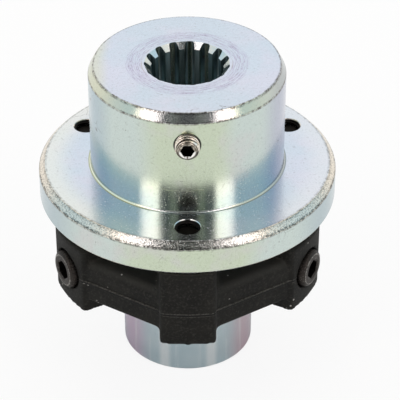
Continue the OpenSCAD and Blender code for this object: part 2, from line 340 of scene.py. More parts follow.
def make_floor():
    mesh = bpy.data.meshes.new("table_sheet")
    bm = bmesh.new()
    centre = bm.verts.new((0, 0, 0))
    rings = [round_row(bm, radius, height, SWEEP_SIDES) for radius, height in SWEEP]
    for i in range(SWEEP_SIDES):
        j = (i + 1) % SWEEP_SIDES
        bm.faces.new((centre, rings[0][i], rings[0][j]))
        for inner, outer in zip(rings, rings[1:]):
            bm.faces.new((inner[i], outer[i], outer[j], inner[j]))
    bm.to_mesh(mesh)
    bm.free()
    mesh.materials.append(white_sheet())
    for polygon in mesh.polygons:
        polygon.use_smooth = True
    floor = bpy.data.objects.new("table_sheet", mesh)
    bpy.context.scene.collection.objects.link(floor)
    floor.location.z = -0.05 * MM
    print("floor faces:", len(mesh.polygons))


make_floor()

# %% [markdown]
# ## Zinc plate
#
# The hubs are turned steel with a bright zinc plate. The thin clear layer on the zinc gives
# faint colours: lavender on the flat faces, pale green and blue on the walls, cream on the
# chamfers. How these colours change from the front to the sides is painted reflection: the
# sides of the hub and the rim are painted darker and bluer, and the front and the chamfers take
# the tints that the plate mirrors towards the camera. Small pits and grains in the plate make
# the edges of a reflection break up into speckles, most of all on the chamfers, where the tool
# left a coarser surface. The tool's fine grooves run round the axis and blur a mirror image
# across them only, so the gloss is given a direction: `ACROSS` turns it by a quarter of a turn.
# The colours are chosen by where a point lies and which way it faces, so they stay on the metal
# from any side.

# %% What every metal needs
TURNED = 0.8
ACROSS = 0.25
PLATE_RELIEF = 0.02 * MM


def on_object(s):
    """The place of a point, in metres."""
    return s.node("ShaderNodeTexCoord", 3)


def places(s):
    """Where a point of the surface lies, in millimetres, and its distance from the axis."""
    where = on_object(s)
    x, y, z = [value * (1 / MM) for value in s.separate(where)]
    return where, x, y, z, s.math("SQRT", x * x + y * y)


def principled(s, **inputs):
    named = {name.replace("_", " "): value for name, value in inputs.items()}
    return s.node("ShaderNodeBsdfPrincipled", 0, named)


def turned_metal(s, tint, rough, relief):
    """Metal with the fine grooves of turning, which blur a reflection across them."""
    return principled(s, Base_Color=tint, Metallic=1.0, Roughness=rough,
                      Normal=s.bump(relief, PLATE_RELIEF), Anisotropic=TURNED,
                      Anisotropic_Rotation=ACROSS)


def upwards(s):
    """1 where the surface faces up, 0 where it is upright and -1 where it faces down."""
    return s.separate(s.node("ShaderNodeNewGeometry", 3))[2]


# %% A point of the plate
RIM_BEVEL_R, RIM_BEVEL_Z = 2.0, 2.2
HUB_BEVEL_R, HUB_BEVEL_Z = 1.7, 3.2


class PlatePoint:
    """A point of the plate: its place, which part of the shape it is on, and its grain."""

    def __init__(self, s):
        self.where, self.x, self.y, self.z, self.radius = places(s)
        self.turned = s.math("ARCTAN2", self.y, self.x)
        self.hub_top = TOP_Z / MM
        self.flange_top = FLANGE_TOP_Z / MM
        level = upwards(s).abs()
        self.flat = level.rise(0.9, 0.97)
        self.chamfer = level.rise(0.15, 0.3) * (1 - self.flat)
        self.in_bore = (1 - self.radius.rise(14.0, 14.15)) * (1 - level.rise(0.4, 0.6))
        self.on_top = self.flat * self.z.rise(self.hub_top - 1, self.hub_top - 0.5)
        self.on_hub_wall = self.radius.rise(31, 32)
        self.on_flange = self.radius.rise(40, 42)
        self.front = 1 - self.x.abs().rise(9, 17)
        self.right = self.x.rise(-5, 5)
        self.cloud = s.noise(self.where, 55.0, 3.0, 0.6)
        self.drift = s.noise(self.where, 22.0, 2.0, 0.5)
        self.fine = s.noise(self.where, 900.0, 3.0, 0.65)
        self.grain = s.noise(self.where, 2600.0, 2.0, 0.6)
        self.speckle = s.noise(self.where, 1500.0, 3.0, 0.75)
        self.flakes = s.noise(self.where, 2000.0, 1.0, 0.5)
        self.salt = s.noise(self.where, 1900.0, 2.0, 0.6).rise(0.66, 0.73)
        along = s.vector(self.turned * 38, (self.radius - self.z) * 0.7)
        self.grit = s.noise(along, 2.9, 2.0, 0.6)


# %% The colours of the clear layer, painted reflection and shade, and what stains it
def layer_tints_and_painted_reflection(s, p):
    """Faint colours of the walls, the flat faces and the chamfers, with painted reflection: the
    front and the sides, as the camera sees them, get different tints, and the sides are darker and
    bluer.
    """
    away = p.x.abs()
    on_rim = p.radius.rise(47, 49)
    # Painted reflection: the front of the wall and the rim is tinted yellow-green, the rest
    # grey-green.
    middle = 1 - (away + p.drift * 12 - on_rim * 8).rise(14.0, 24.0)
    wall = s.mix(middle, (0.585, 0.665, 0.63), (0.575, 0.645, 0.50))
    wall = s.mix(p.cloud.rise(0.52, 0.72) * 0.7, wall, (0.62, 0.61, 0.60))
    # Painted reflection: the hub's sides, and the rim's sides, are painted darker and bluer.
    aside = away.rise(23.0, 30.5) * (1 - p.radius.rise(34, 36))
    wall = s.mix(aside * 0.9, wall, s.mix(p.right, (0.40, 0.50, 0.55), (0.45, 0.47, 0.57)))
    wall = s.mix(away.rise(33.0, 46.0) * on_rim * 0.9, wall, (0.41, 0.50, 0.535))
    face = s.mix(p.cloud.rise(0.38, 0.66), (0.62, 0.70, 0.78), (0.68, 0.70, 0.79))
    # Painted reflection: the flange's face turns cream towards its sides.
    cream = p.radius.rise(37, 46.5) * away.rise(8, 22) * 0.65
    face = s.mix(cream, face, s.mix(p.right, (0.85, 0.86, 0.77), (0.78, 0.80, 0.82)))
    edge = s.mix(p.drift.rise(0.40, 0.65), (0.68, 0.69, 0.54), (0.62, 0.66, 0.60))
    # Painted reflection: the chamfers are painted darker on the right, lighter at the front and
    # beige at the flange's sides.
    edge = s.mix(p.x.rise(24, 31) * 0.8, edge, (0.45, 0.47, 0.48))
    edge = s.mix(p.front, edge, (0.74, 0.77, 0.76))
    beige = s.mix(away.rise(16, 26), (0.74, 0.76, 0.73), (0.89, 0.81, 0.69))
    edge = s.mix(p.on_flange, edge, beige)
    return s.mix(p.chamfer, s.mix(p.flat, wall, face), edge)


def top_stains(s, p, tint):
    """Marks on the top face: a washer's print, a yellowed side and a rubbed circle."""
    streaks = s.noise(s.vector(p.radius * 1.6, p.turned * 1.3), 2.2, 4.0, 0.7)
    washer = p.radius.band(17.4, 1.9, 1.4) * p.on_top
    tint = s.mix(washer * streaks.rise(0.44, 0.58) * 0.65, tint, (0.50, 0.46, 0.62))
    specks = (streaks * 0.6 + p.grain * 0.4).rise(0.53, 0.60)
    tint = s.mix(washer * specks * 0.5, tint, (0.27, 0.24, 0.30))
    yellowed = 1 - (p.x + p.drift * 8).rise(-26, -21)
    tint = s.mix(yellowed * p.on_top * 0.7, tint, (0.70, 0.71, 0.56))
    rubbed = p.radius.band(14.9, 0.12, 0.15) * p.on_top
    rubbed = rubbed * p.cloud.rise(0.46, 0.58) * p.y.rise(-9, -2)
    return s.mix(rubbed * 0.5, tint, (0.42, 0.36, 0.30))


def bore_streaks_and_painted_shade(s, p, tint):
    """The spline: streaks along the axis, on steel painted dark as the shade inside the bore; the
    spaces between the teeth are painted pale lower down and darker near the top, as light and
    shade.
    """
    broach = s.noise(s.vector(p.turned * 60.0, p.z * 0.12), 1.0, 3.0, 0.7)
    # Painted shade: the bore's steel is much darker than the plate outside.
    steel = s.mix(broach.rise(0.45, 0.7), (0.15, 0.22, 0.23), (0.24, 0.32, 0.33))
    near_top = p.z.rise(p.hub_top - 15, p.hub_top - 3)
    painted_shade_of_spaces = s.mix(near_top, (0.50, 0.67, 0.71), (0.10, 0.15, 0.16))
    steel = s.mix(p.radius.rise(12.3, 13.2), steel, painted_shade_of_spaces)
    return s.mix(p.in_bore, tint, steel)


# %% Wear, dirt and painted shade of the plate
def worn_edges(s, p):
    """Broken dark lines along both edges of the flange's and the hub's chamfer."""
    rim_line = p.radius.band(FLANGE_R / MM - RIM_BEVEL_R, 0.25, 0.7)
    rim_line = rim_line * p.z.rise(p.flange_top - 1, p.flange_top)
    rim_low = p.z.band(p.flange_top - RIM_BEVEL_Z, 0.2, 0.6) * p.radius.rise(49.2, 49.6)
    hub_line = p.radius.band(HUB_R / MM - HUB_BEVEL_R, 0.15, 0.5)
    hub_line = hub_line * p.z.rise(p.hub_top - 1, p.hub_top - 0.3)
    hub_low = p.z.band(p.hub_top - HUB_BEVEL_Z, 0.15, 0.5) * p.on_hub_wall
    worn = s.noise(p.where, 620.0, 3.0, 0.75).rise(0.40, 0.58)
    lines = (rim_line * 0.6 + rim_low + hub_line + hub_low).clamp() * (0.25 + worn * 0.75)
    return lines * p.grain.rise(0.34, 0.50)


def scratches(s, p):
    """Thin lines, bent a little by a noise, in a few places."""
    bend = s.node("ShaderNodeTexNoise", 1, {"Vector": p.where, "Scale": 420.0})
    bend = s.node("ShaderNodeVectorMath", 0, {0: bend, "Scale": 0.002}, operation="SCALE")
    bent = s.node("ShaderNodeVectorMath", 0, {0: p.where, 1: bend}, operation="ADD")
    hairs = s.node("ShaderNodeTexVoronoi", 0, {"Vector": bent, "Scale": 95.0},
                   feature="DISTANCE_TO_EDGE")
    seldom = s.noise(p.where, 60.0, 1.0, 0.5).rise(0.67, 0.69)
    return (1 - hairs.rise(0.005, 0.012)) * seldom * (1 - p.in_bore)


def plate_dirt(s, p, tint):
    """Dark places: worn edges, a coarse chamfer, pits, scratches and dents."""
    hub_specks = p.speckle.rise(0.56, 0.66) * 0.14
    rim_specks = p.flakes.rise(0.49, 0.57) * (0.42 + p.front * 0.12)
    coarse = p.chamfer * s.mix_value(p.on_flange, hub_specks, rim_specks)
    pits = p.fine.rise(0.60, 0.68) * (1 - p.chamfer)
    dents = s.noise(p.where, 240.0, 2.0, 0.5).rise(0.735, 0.75) * (1 - p.flat)
    dirt = worn_edges(s, p) * 0.95 + coarse + pits * 0.18 + scratches(s, p) * 0.4 + dents * 0.6
    grime = s.mix(p.on_flange, (0.14, 0.12, 0.11), (0.13, 0.13, 0.115))
    tint = s.mix(dirt.clamp(), tint, grime)
    shade = (1 - p.chamfer) * (0.5 - p.speckle.rise(0.35, 0.65)) * 0.12
    return s.mix(shade, tint, (0, 0, 0))


# The formula drops the sign of x, so the hole on one side stands for both
PITCH_R = 40.25
SIDE_HOLE = math.radians(30)
HOLES = [(0.0, -PITCH_R), (PITCH_R * math.cos(SIDE_HOLE), PITCH_R * math.sin(SIDE_HOLE))]


def painted_shade_round_gaps_and_foot(s, p, tint):
    """Painted shade: a dark ring round the set screw, a dark line at the holes' lips and a darker
    band in the corner at the foot of the hub, with a painted highlight along the fillet on the
    left.
    """
    set_z = middle_of("hub_set_screw").z / MM
    from_screw = s.math("SQRT", p.x * p.x + (p.z - set_z) ** 2.0)
    # Painted shade: a dark ring on the hub round the set screw.
    gap = (1 - from_screw.rise(4.30, 4.62)) * (1 - p.y.rise(-10, -5)) * p.radius.rise(5, 10)
    tint = s.mix(gap * 0.95, tint, (0.03, 0.028, 0.025))
    # Painted shade in the corner at the foot of the hub, yellowish on the left, and on the left a
    # bright cream line along the fillet as a painted highlight.
    foot_corner = p.radius.band(HUB_R / MM + 0.42, 0.36, 0.06) * p.z.band(p.flange_top + 0.4, 0.42, 0.08)
    core = p.radius.band(HUB_R / MM + 0.24, 0.10, 0.12)
    left = 1 - p.x.rise(-20, -6)
    foot_corner_shade = s.mix(left, (0.26, 0.31, 0.31), (0.40, 0.44, 0.25))
    tint = s.mix(foot_corner * (1 - core) * 0.85, tint, foot_corner_shade)
    tint = s.mix(foot_corner * core * left, tint, (0.87, 0.88, 0.70))
    from_hole = s.math("MINIMUM", *[
        s.math("SQRT", (p.x.abs() - hole_x) ** 2.0 + (p.y - hole_y) ** 2.0)
        for hole_x, hole_y in HOLES])
    # Painted shade: a dark line round the lip of each flange hole.
    lip = from_hole.band(4.0, 0.14, 0.08) * p.z.rise(p.flange_top - 1, p.flange_top - 0.8)
    return s.mix(lip, tint, (0.05, 0.05, 0.045))


# %% Plated steel of the flange and the upper hub
SCUFF_Z = 82.6


def scuff_line(s, p):
    """A dull line across the front of the hub's wall, and none at the back, where y is over 1."""
    height = p.z + s.noise(p.where, 260.0, 2.0, 0.6) * 1.6
    line = height.band(SCUFF_Z + 0.8, 0.05, 0.12) * p.x.band(-1.5, 5.5, 1.5) * (1 - p.y)
    broken = s.noise(p.where, 500.0, 2.0, 0.5).rise(0.40, 0.52)
    return (line * broken * p.on_hub_wall).clamp()


def plate_relief(s, p):
    """Height of the plate's own surface, coarser on the chamfers."""
    rim = p.chamfer * p.on_flange
    hub = p.chamfer * (1 - p.on_flange) * p.front
    waves = s.noise(p.where, 320.0, 2.0, 0.5)
    return (waves * 0.35 + p.fine * (0.30 + p.chamfer * 0.8 + rim * 0.8)
            + p.grain * (0.12 + p.chamfer * 0.9 + rim * 0.8) + hub * p.speckle * 1.5
            + p.speckle * 0.25 + p.grit * rim * (1.5 + p.front * 2.0)
            + p.flakes * rim * p.front * 2.5 + p.salt * (1 - p.chamfer) * 0.8)


def plated_steel():
    material, s = new_material("zinc_plate")
    p = PlatePoint(s)
    tint = layer_tints_and_painted_reflection(s, p)
    for add_to in (top_stains, bore_streaks_and_painted_shade, plate_dirt, painted_shade_round_gaps_and_foot):
        tint = add_to(s, p, tint)
    rough = (0.14 + p.fine * 0.06 + p.in_bore * 0.3 + p.chamfer * 0.04
             + scuff_line(s, p) * 0.7 + p.salt * (1 - p.chamfer) * 0.30)
    return finished(material, turned_metal(s, tint, rough, plate_relief(s, p)))


plate = plated_steel()
print("plate nodes:", len(plate.node_tree.nodes))

# %% Plated steel of the lower hub
def lower_plate():
    material, s = new_material("lower_hub_plate")
    where, x, y, z, radius = places(s)
    cloud = s.noise(where, 70.0, 3.0, 0.6)
    fine = s.noise(where, 900.0, 3.0, 0.65)
    grain = s.noise(where, 2600.0, 2.0, 0.6)
    turned = s.math("ARCTAN2", x, y * -1.0).abs()
    # Painted reflection: the hub's sides, as seen from the front, are tinted pink.
    side = turned.band(1.15, 0.12, 0.45)
    tint = s.mix(cloud.rise(0.35, 0.65), (0.54, 0.66, 0.70), (0.61, 0.72, 0.75))
    pink = s.mix(x.rise(-5, 5), (0.72, 0.53, 0.68), (0.72, 0.54, 0.60))
    tint = s.mix(side * (0.55 + cloud * 0.5), tint, pink)
    streaks = s.noise(s.vector(turned * 9.0, z * 0.02), 1.0, 3.0, 0.6)
    tint = s.mix(streaks.rise(0.50, 0.75) * 0.5, tint, (0.90, 0.92, 0.92))
    # Painted reflection: a bright band on each side of the front, where a white panel is mirrored.
    painted_panel_gleam = turned.band(0.37, 0.03, 0.10)
    tint = s.mix(painted_panel_gleam * 0.6, tint, (0.97, 0.99, 0.98))
    in_bore = 1 - radius.rise(12.6, 12.9)
    tint = s.mix(in_bore, tint, (0.50, 0.50, 0.52))
    tint = s.mix(grain.rise(0.66, 0.74) * 0.5, tint, (0.14, 0.13, 0.14))
    relief = fine * 0.5 + grain * 0.3
    return finished(material, turned_metal(s, tint, 0.20 + fine * 0.08, relief))


lower = lower_plate()
print("lower plate nodes:", len(lower.node_tree.nodes))

# %% [markdown]
# ## Edges of the turned pieces
#
# A lathe tool never leaves a perfectly sharp edge, and the thin rounding of an edge is what
# catches the light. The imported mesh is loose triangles, so a copy is joined first, its flat
# faces are made whole, and only the long round edges of the two hubs get a small bevel. Short
# edges, as at the holes and the spline, would make a bevel overlap itself, so they stay sharp.

# %% Joined copies and round edges
def joined_mesh(node, name):
    """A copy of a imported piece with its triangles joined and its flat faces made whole."""
    mesh = bpy.data.meshes.new(name)
    bm = bmesh.new()
    bm.from_mesh(nodes[node].data)
    bmesh.ops.remove_doubles(bm, verts=bm.verts, dist=0.001 * MM)
    bmesh.ops.dissolve_limit(bm, angle_limit=math.radians(0.5), verts=bm.verts, edges=bm.edges)
    bm.to_mesh(mesh)
    bm.free()
    if "custom_normal" in mesh.attributes:
        mesh.attributes.remove(mesh.attributes["custom_normal"])
    return mesh


def dress(piece, *materials):
    """Gives a piece these materials and no others."""
    indices = [polygon.material_index for polygon in piece.data.polygons]
    piece.data.materials.clear()
    for material in materials:
        piece.data.materials.append(material)
    piece.data.polygons.foreach_set("material_index", indices)


def show(mesh, materials, replaced):
    """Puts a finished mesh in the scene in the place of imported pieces."""
    piece = bpy.data.objects.new(mesh.name, mesh)
    bpy.context.scene.collection.objects.link(piece)
    dress(piece, *materials)
    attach(piece, BODY)
    if replaced:
        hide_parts(*replaced)
    return piece


def smooth_mesh(mesh, angle):
    """Shades a mesh as round, apart from edges that are sharper than the angle, in degrees."""
    for polygon in mesh.polygons:
        polygon.use_smooth = True
    mesh.set_sharp_from_angle(angle=math.radians(angle))
    return mesh


NEAR_RING = 0.02


def mark_round_edges(mesh, rings):
    """Marks the circles at the given radii and heights, in millimetres, for a bevel."""
    bm = bmesh.new()
    bm.from_mesh(mesh)
    weight = bm.edges.layers.float.new("bevel_weight_edge")
    found = 0
    for edge in bm.edges:
        for radius, height in rings:
            ends = [(math.hypot(v.co.x, v.co.y) / MM - radius, v.co.z / MM - height)
                    for v in edge.verts]
            if all(abs(a) < NEAR_RING and abs(b) < NEAR_RING for a, b in ends):
                edge[weight] = 1.0
                found += 1
    bm.to_mesh(mesh)
    bm.free()
    print(mesh.name, "round edges:", found)


def turned_piece(node, rings, width, material):
    """A turned piece with a small bevel along its round edges."""
    mesh = joined_mesh(node, node + "_turned")
    mark_round_edges(mesh, rings)
    piece = show(smooth_mesh(mesh, 31), [material], [node])
    bevel = piece.modifiers.new("edges", "BEVEL")
    bevel.limit_method = "WEIGHT"
    bevel.width = width
    bevel.segments = 3
    bevel.use_clamp_overlap = False
    even = piece.modifiers.new("even_shading", "WEIGHTED_NORMAL")
    even.mode = "FACE_AREA_WITH_ANGLE"
    even.keep_sharp = True


# %% Both hubs
FOOT_BEVEL = 1.0
SHAFT_BEVEL = 0.8
HUB_ROUNDING = 0.18 * MM
SHAFT_ROUNDING = 0.15 * MM


def flange_hub_rings():
    rim, hub = FLANGE_R / MM, HUB_R / MM
    low, flange_top, hub_top = flange_low.z / MM, FLANGE_TOP_Z / MM, TOP_Z / MM
    return [(rim - FOOT_BEVEL, low), (rim, low + FOOT_BEVEL), (rim, flange_top - RIM_BEVEL_Z),
            (rim - RIM_BEVEL_R, flange_top), (hub, hub_top - HUB_BEVEL_Z),
            (hub - HUB_BEVEL_R, hub_top)]


def shaft_hub_rings():
    low, high = [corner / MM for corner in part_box("shaft_hub")]
    inner = high.x - SHAFT_BEVEL
    return [(high.x, low.z + SHAFT_BEVEL), (inner, low.z),
            (high.x, high.z - SHAFT_BEVEL), (inner, high.z)]


turned_piece("flange_hub", flange_hub_rings(), HUB_ROUNDING, plate)
turned_piece("shaft_hub", shaft_hub_rings(), SHAFT_ROUNDING, lower)

# %% [markdown]
# ## Moulded rubber
#
# The element is one moulding, so it has no sharp edge anywhere: every corner has the small
# radius of the mould. A voxel remesh of the imported solid, smoothed twice, rounds all edges at
# once, which bevels could not do where lobes, bars and recesses meet. The remesh is finer than
# the flat faces need, so a third of its triangles is taken out again. Black rubber scatters a
# little light with a dull sheen, and dust sticks to it as tiny pale specks. Its upward faces are
# painted a little lighter, as if lit from above, the parting groove is painted dark as shade, and
# the edges of the raised band are painted light as highlights.

# %% Rubber material
def moulded_rubber():
    material, s = new_material("black_rubber")
    where = on_object(s)
    z = s.separate(where)[2] * (1 / MM)
    cloud = s.noise(where, 90.0, 4.0, 0.6)
    skin = s.noise(where, 1700.0, 3.0, 0.7)
    bloom = s.noise(where, 1300.0, 3.0, 0.7)
    tint = s.mix(cloud.rise(0.35, 0.7), (0.006, 0.006, 0.005), (0.012, 0.0115, 0.0095))
    tint = s.mix(bloom.rise(0.48, 0.70) * 0.7, tint, (0.032, 0.031, 0.026))
    # Painted light: faces that look up are painted lighter, as if lit from above.
    tint = s.mix(upwards(s).rise(0.1, 0.9) * 0.7, tint, (0.042, 0.041, 0.035))
    specks = s.node("ShaderNodeTexVoronoi", 0, {"Vector": where, "Scale": 330.0})
    picked = s.noise(where, 210.0, 1.0, 0.5).rise(0.56, 0.62)
    dust = (1 - specks.rise(0.07, 0.15)) * picked
    tint = s.mix(dust * 0.8, tint, (0.45, 0.44, 0.41))
    # Painted shade: a dark line along the parting groove.
    line = z.band(PARTING_Z / MM, 0.10, 0.14)
    tint = s.mix(line * 0.7, tint, (0.006, 0.006, 0.006))
    # Painted highlights: light lines along the upper and lower edges of the raised band.
    above = z.band(PARTING_Z / MM + 0.50, 0.05, 0.14)
    below = z.band(PARTING_Z / MM - 0.52, 0.04, 0.12)
    crest = (above + below * 0.55) * skin.rise(0.35, 0.6)
    tint = s.mix(crest * 0.8, tint, (0.12, 0.117, 0.105))
    rough = 0.62 + cloud * 0.12 - bloom * 0.1
    relief = skin * 0.8 + bloom * 1.2 + dust * 2.0 - line * 4.0
    shader = principled(s, Base_Color=tint, Roughness=rough, Specular_IOR_Level=0.16,
                        Normal=s.bump(relief, 0.03 * MM))
    return finished(material, shader)


rubber = moulded_rubber()
print("rubber nodes:", len(rubber.node_tree.nodes))


# %% Rubber with the rounded edges of its mould
VOXEL = 0.5 * MM
KEPT_SHARE = 0.66


def baked(piece):
    """Turns a piece's modifiers into its own plain mesh."""
    graph = bpy.context.evaluated_depsgraph_get()
    shaped = bpy.data.meshes.new_from_object(piece.evaluated_get(graph))
    piece.modifiers.clear()
    piece.data = shaped
    return shaped


def rounded_rubber():
    mesh = joined_mesh("rubber_element", "rubber_moulding")
    piece = show(mesh, [rubber], ["rubber_element"])
    remesh = piece.modifiers.new("round", "REMESH")
    remesh.mode = "VOXEL"
    remesh.voxel_size = VOXEL
    smooth = piece.modifiers.new("soft", "SMOOTH")
    smooth.iterations = 2
    smooth.factor = 0.5
    fewer = piece.modifiers.new("fewer", "DECIMATE")
    fewer.ratio = KEPT_SHARE
    shaped = baked(piece)
    for polygon in shaped.polygons:
        polygon.use_smooth = True
    shaped.calc_loop_triangles()
    print("rubber triangles:", len(shaped.loop_triangles))


rounded_rubber()

# %% [markdown]
# ## Screws with real threads
#
# A thread is a groove that winds round a rod, 1.25 mm further with each turn on an M8 screw. A
# knurl is a ring of fine ribs that gives fingers a grip on a screw's head. Both repeat by a
# rule, so Geometry Nodes cut them into a plain turned blank: each point moves towards the axis
# by an amount that depends only on where it lies. The blank itself is a stack of rings, round
# ones outside and hexagons down in the socket.

# %% Steel of the screws
SCREW_RELIEF = 0.03 * MM
FACE_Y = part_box("hub_set_screw")[0].y / MM


def black_oxide(name, dark, worn, share, rough):
    """Dark steel whose oxide has worn off on a share of the surface."""
    material, s = new_material(name)
    where = on_object(s)
    cloud = s.noise(where, 420.0, 4.0, 0.65)
    grain = s.noise(where, 2400.0, 3.0, 0.6)
    bare = (cloud * 0.5 + grain * 0.5).rise(1 - share - 0.06, 1 - share + 0.06)
    oxide = s.mix(grain.rise(0.3, 0.7), dark, [part * 1.6 for part in dark])
    shader = principled(s, Base_Color=s.mix(bare, oxide, worn), Metallic=1.0,
                        Roughness=rough + grain * 0.2,
                        Normal=s.bump(cloud * 0.6 + grain * 0.8, 0.04 * MM))
    return finished(material, shader)


def bright_thread():
    """The front set screw: bright steel, with oil and painted shade in its thread's roots and
    painted light and shade on its end.
    """
    material, s = new_material("bright_set_screw")
    where, x, y, z = places(s)[:4]
    set_z = middle_of("hub_set_screw").z / MM
    from_axis = s.math("SQRT", x * x + (z - set_z) ** 2.0)
    grain = s.noise(where, 1400.0, 3.0, 0.7)
    on_end = 1 - y.rise(FACE_Y + 0.2, FACE_Y + 0.5)
    below = 1 - z.rise(set_z - 0.7, set_z + 0.5)
    above = 1 - below
    cone = 1 - y.rise(FACE_Y + 0.8, FACE_Y + 1.0)
    # Oil and painted shade: the thread's roots and the lower half of the cone are near black, and
    # only the crests and the upper half of the cone show bright steel.
    crest = (from_axis.rise(3.55, 3.78) + cone * above * from_axis.rise(3.0, 3.2)).clamp()
    steel = s.mix(grain.rise(0.45, 0.6), (0.95, 0.90, 0.79), (0.62, 0.55, 0.44))
    tint = s.mix(crest, (0.035, 0.03, 0.025), steel)
    # Painted highlight: the lower half of the ring round the socket is bright, the rest of the end
    # darker, and the upper half grained brown.
    ring = 1 - from_axis.rise(2.62, 2.80)
    notch = x.band(0.0, 0.12, 0.12)
    end = s.mix(ring * below * (1 - notch), (0.17, 0.15, 0.12), (0.95, 0.94, 0.90))
    end = s.mix(above * grain.rise(0.42, 0.58), end, (0.62, 0.57, 0.48))
    tint = s.mix(on_end, tint, end)
    # Painted shade: two dark arcs on the upper half of the cone.
    arcs = from_axis.band(3.25, 0.05, 0.10) + from_axis.band(2.72, 0.04, 0.10)
    tint = s.mix(arcs * cone * above * grain.rise(0.35, 0.5), tint, (0.05, 0.045, 0.035))
    shader = principled(s, Base_Color=tint, Metallic=1.0, Roughness=0.32 + grain * 0.1,
                        Normal=s.bump(grain, SCREW_RELIEF))
    return finished(material, shader)


screw_black = black_oxide("screw_oxide", (0.035, 0.031, 0.028), (0.115, 0.105, 0.095), 0.42, 0.40)
screw_edge = black_oxide("worn_screw_edge", (0.08, 0.075, 0.07), (0.33, 0.315, 0.29), 0.48, 0.36)
screw_bright = bright_thread()
# Oil and painted shade: a near-black finish for the screws' sockets, their tips down in the flange
# and the threads of the holes, where shade falls.
oil_and_shade = black_oxide("socket_oil_and_shade", (0.012, 0.011, 0.010), (0.05, 0.045, 0.04), 0.35, 0.45)


# %% Two trees: a thread and a knurl
SCREW_R = 3.95
PITCH = 1.25
HEAD_R = 6.5


def new_shape_tree(name, sizes):
    """A geometry tree with a mesh, a material and named sizes as its inputs."""
    group = bpy.data.node_groups.new(name, "GeometryNodeTree")
    group.interface.new_socket("Mesh", in_out="INPUT", socket_type="NodeSocketGeometry")
    for size, value in sizes.items():
        socket = group.interface.new_socket(size, in_out="INPUT", socket_type="NodeSocketFloat")
        socket.default_value = value
    group.interface.new_socket("Finish", in_out="INPUT", socket_type="NodeSocketMaterial")
    group.interface.new_socket("Mesh", in_out="OUTPUT", socket_type="NodeSocketGeometry")
    s = Tree(group)
    made = group.nodes.new("NodeGroupInput")
    return group, s, {socket.name: Value(s, socket) for socket in made.outputs}


def finish_shape(s, given, shape):
    """Ends a tree with its shape made real, in the material that it was given."""
    whole = s.node("GeometryNodeRealizeInstances", 0, {0: shape})
    dressed = s.node("GeometryNodeSetMaterial", 0, {"Geometry": whole, "Material": given["Finish"]})
    s.plug(s.tree.nodes.new("NodeGroupOutput").inputs[0], dressed)


def pull_inwards(s, given, amount, x, y, radius):
    """Moves each point towards the Z axis."""
    offset = s.vector(x / radius * amount * -1.0, y / radius * amount * -1.0)
    return s.node("GeometryNodeSetPosition", 0, {"Geometry": given["Mesh"], "Offset": offset})


def polar(s):
    """A point's place, its distance from the Z axis, and its angle in turns."""
    x, y, z = s.separate(s.node("GeometryNodeInputPosition", 0))
    radius = s.math("SQRT", x * x + y * y + 1e-12)
    return x, y, z, radius, s.math("ARCTAN2", y, x) * (1 / math.tau)


def between(value, low, high, soft):
    """1 between two heights that are themselves sockets."""
    up = ((value - low) / soft).clamp()
    down = ((high - value) / soft).clamp()
    return up * down


def thread_tree():
    """A thread's groove: its flat crests take 0.14 of the half pitch, its flanks 0.58."""
    sizes = {"Outer radius": SCREW_R * MM, "Depth": 0.6 * MM, "Pitch": PITCH * MM, "Low": 0.0,
             "High": 10 * MM, "Turn": 0.0}
    group, s, given = new_shape_tree("cut_thread", sizes)
    x, y, z, radius, turns = polar(s)
    wave = s.math("FRACT", z / given["Pitch"] - turns + given["Turn"])
    groove = (((wave * 2 - 1).abs() - 0.14) / 0.58).clamp()
    root = given["Outer radius"] - given["Depth"] * groove
    spare = s.math("MAXIMUM", radius - root, 0.0)
    amount = spare * between(z, given["Low"], given["High"], 0.5 * MM)
    finish_shape(s, given, pull_inwards(s, given, amount, x, y, radius))
    return group


def knurl_tree():
    """Ribs along the side of a head, and none on its face."""
    sizes = {"Depth": 0.25 * MM, "Ribs": 40.0, "Low": 0.0, "High": 8 * MM}
    group, s, given = new_shape_tree("roll_knurl", sizes)
    x, y, z, radius, turns = polar(s)
    wave = s.math("FRACT", turns * given["Ribs"] + 0.5)
    rim = radius.rise(5.9 * MM, 6.3 * MM)
    groove = (wave * 2 - 1).abs() * rim
    amount = given["Depth"] * groove * between(z, given["Low"], given["High"], 0.5 * MM)
    finish_shape(s, given, pull_inwards(s, given, amount, x, y, radius))
    return group


cut_thread = thread_tree()
roll_knurl = knurl_tree()


def worked(mesh, tree, finish, **sizes):
    """Runs a mesh through one of the trees and hands back a plain mesh."""
    holder = bpy.data.objects.new("blank", mesh)
    bpy.context.scene.collection.objects.link(holder)
    modifier = holder.modifiers.new("work", "NODES")
    modifier.node_group = tree
    names = {item.name: item.identifier for item in tree.interface.items_tree
             if item.in_out == "INPUT"}
    modifier[names["Finish"]] = finish
    for size, value in sizes.items():
        modifier[names[size.replace("_", " ")]] = value
    graph = bpy.context.evaluated_depsgraph_get()
    result = bpy.data.meshes.new_from_object(holder.evaluated_get(graph))
    holder.modifiers.clear()
    bpy.data.objects.remove(holder)
    return result


# %% Turned blanks with a hexagon socket
AROUND = 120
SOCKET_DEPTH = 4.0


def ring(bm, size, height, sides=0):
    """A circle of the given radius, or a hexagon of that inner radius, in millimetres."""
    corner = math.tau / 6
    points = []
    for i in range(AROUND):
        angle = math.tau * i / AROUND
        r = size
        if sides:
            r = size / math.cos((angle + corner / 2) % corner - corner / 2)
        points.append(bm.verts.new((r * math.cos(angle) * MM, r * math.sin(angle) * MM,
                                    height * MM)))
    return points


def join_rings(bm, rings):
    """Faces between each ring and the next."""
    for low, high in zip(rings, rings[1:]):
        for i in range(AROUND):
            j = (i + 1) % AROUND
            bm.faces.new((low[i], low[j], high[j], high[i]))


